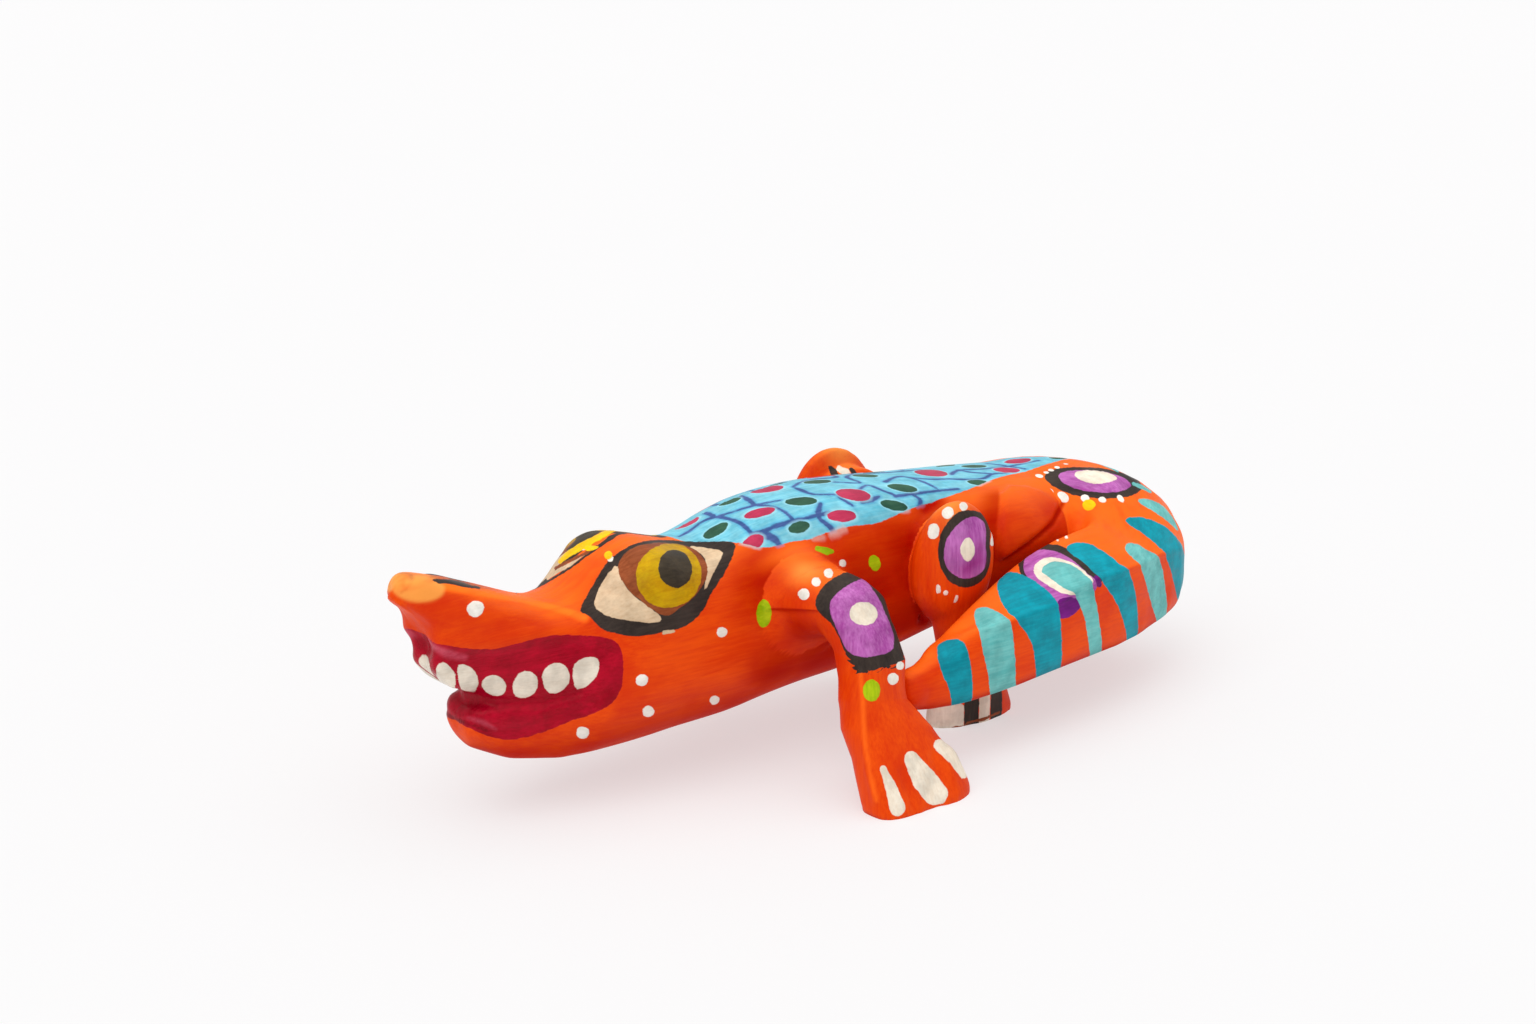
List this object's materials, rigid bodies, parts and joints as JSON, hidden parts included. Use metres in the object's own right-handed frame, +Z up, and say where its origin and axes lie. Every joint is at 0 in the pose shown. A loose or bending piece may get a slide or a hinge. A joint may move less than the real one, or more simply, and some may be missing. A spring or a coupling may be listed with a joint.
{
  "type": "carved crocodile figure",
  "caption": "Hand-carved and painted wooden crocodile with an upturned snout, bulging eyes, splayed feet and a tail curled forward along its side.",
  "frame": {"origin": "centre of the bounding box's bottom face, on the ground under the figure", "axes": "-X towards the snout, +X towards the bend of the tail, -Y towards the figure's left side, where the tail curls, +Z up"},
  "size_m": [0.1864, 0.0988, 0.0509],
  "materials": {
    "painted_body": "satin acrylic paint, orange with a blue back, crimson mouth and painted eyes",
    "painted_tail": "satin acrylic paint, orange with teal stripes",
    "painted_legs": "satin acrylic paint, orange with violet rings and white toenails",
    "painted_paste": "sawdust and glue paste under orange paint",
    "sawdust_paste": "dried sawdust and glue paste",
    "bare_wood": "bare pale wood"
  },
  "bodies": {
    "root": {"trunk": "painted_body", "tail": "painted_tail", "tail_dowels": "bare_wood", "tail_paste_layer": "sawdust_paste", "front_left_leg": "painted_legs", "front_right_leg": "painted_legs", "hind_left_leg": "painted_legs", "hind_right_leg": "painted_legs", "front_left_peg": "bare_wood", "front_right_peg": "bare_wood", "hind_left_peg": "bare_wood", "hind_right_peg": "bare_wood", "front_left_paste": "painted_paste", "front_right_paste": "painted_paste", "hind_left_paste": "painted_paste", "hind_right_paste": "painted_paste"}
  },
  "joints": []
}
